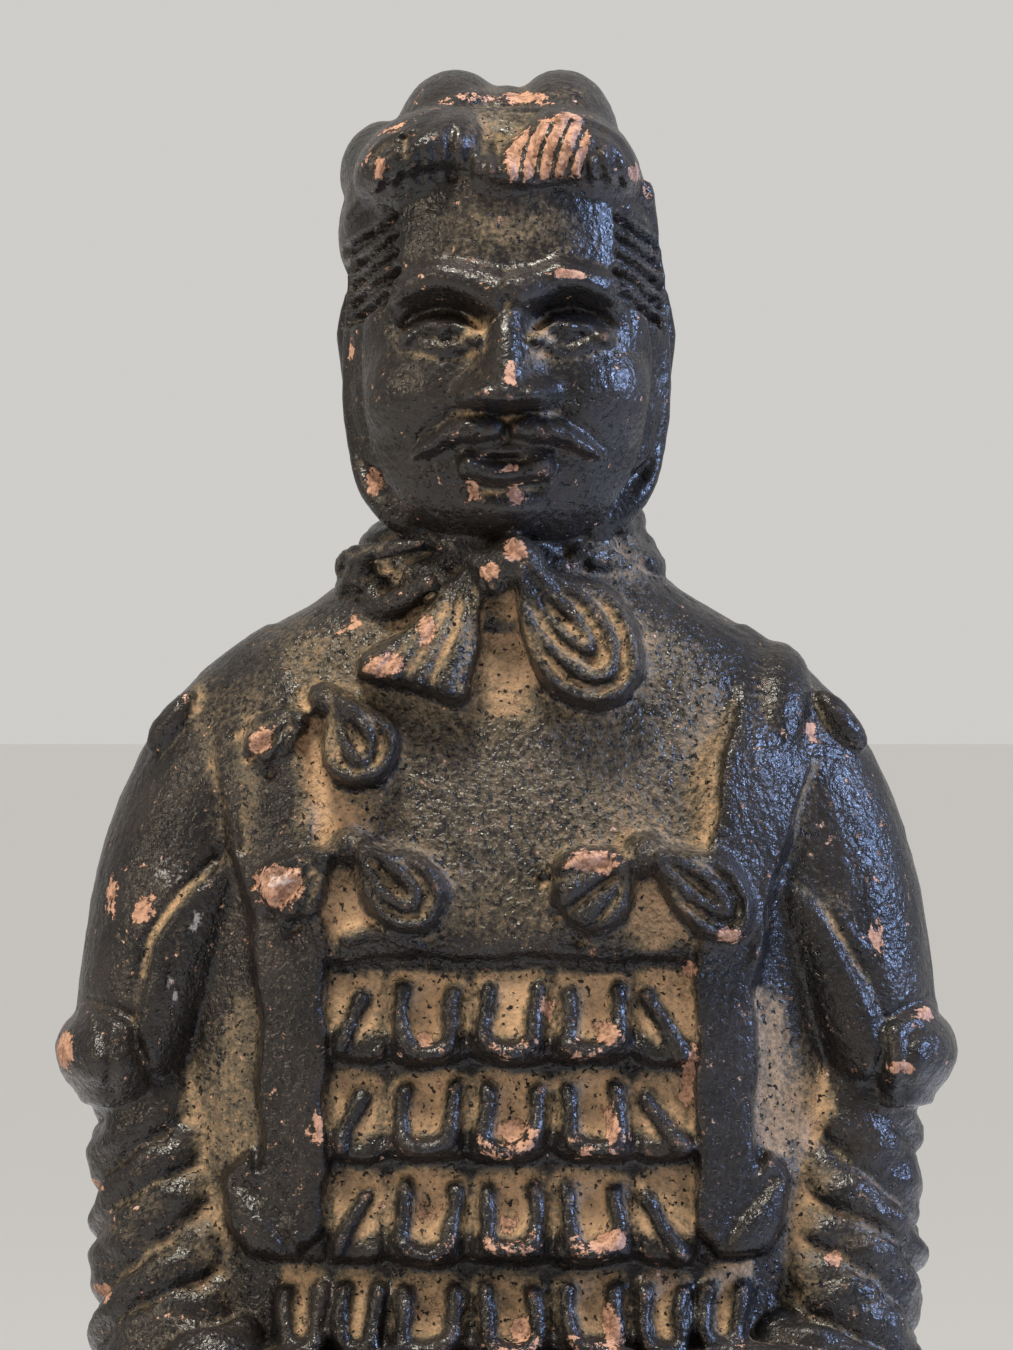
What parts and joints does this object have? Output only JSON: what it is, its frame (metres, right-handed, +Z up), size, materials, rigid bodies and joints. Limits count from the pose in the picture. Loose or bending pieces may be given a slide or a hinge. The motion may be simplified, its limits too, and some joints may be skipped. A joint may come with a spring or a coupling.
{
  "type": "terracotta warrior statue",
  "caption": "Small moulded clay figure of an armoured general who stands on a low base with his hands laid together in front.",
  "frame": {"origin": "centre of the base's underside", "axes": "+Z up along the figure, the figure faces -Y, +X to its left hand"},
  "size_m": [0.0487, 0.0372, 0.15],
  "materials": {
    "blackened_clay": "fired clay with a black slip, low sheen, ochre dust in the hollows and bare pink clay in the chips"
  },
  "bodies": {
    "root": {"terracotta_warrior": "blackened_clay"}
  },
  "joints": []
}
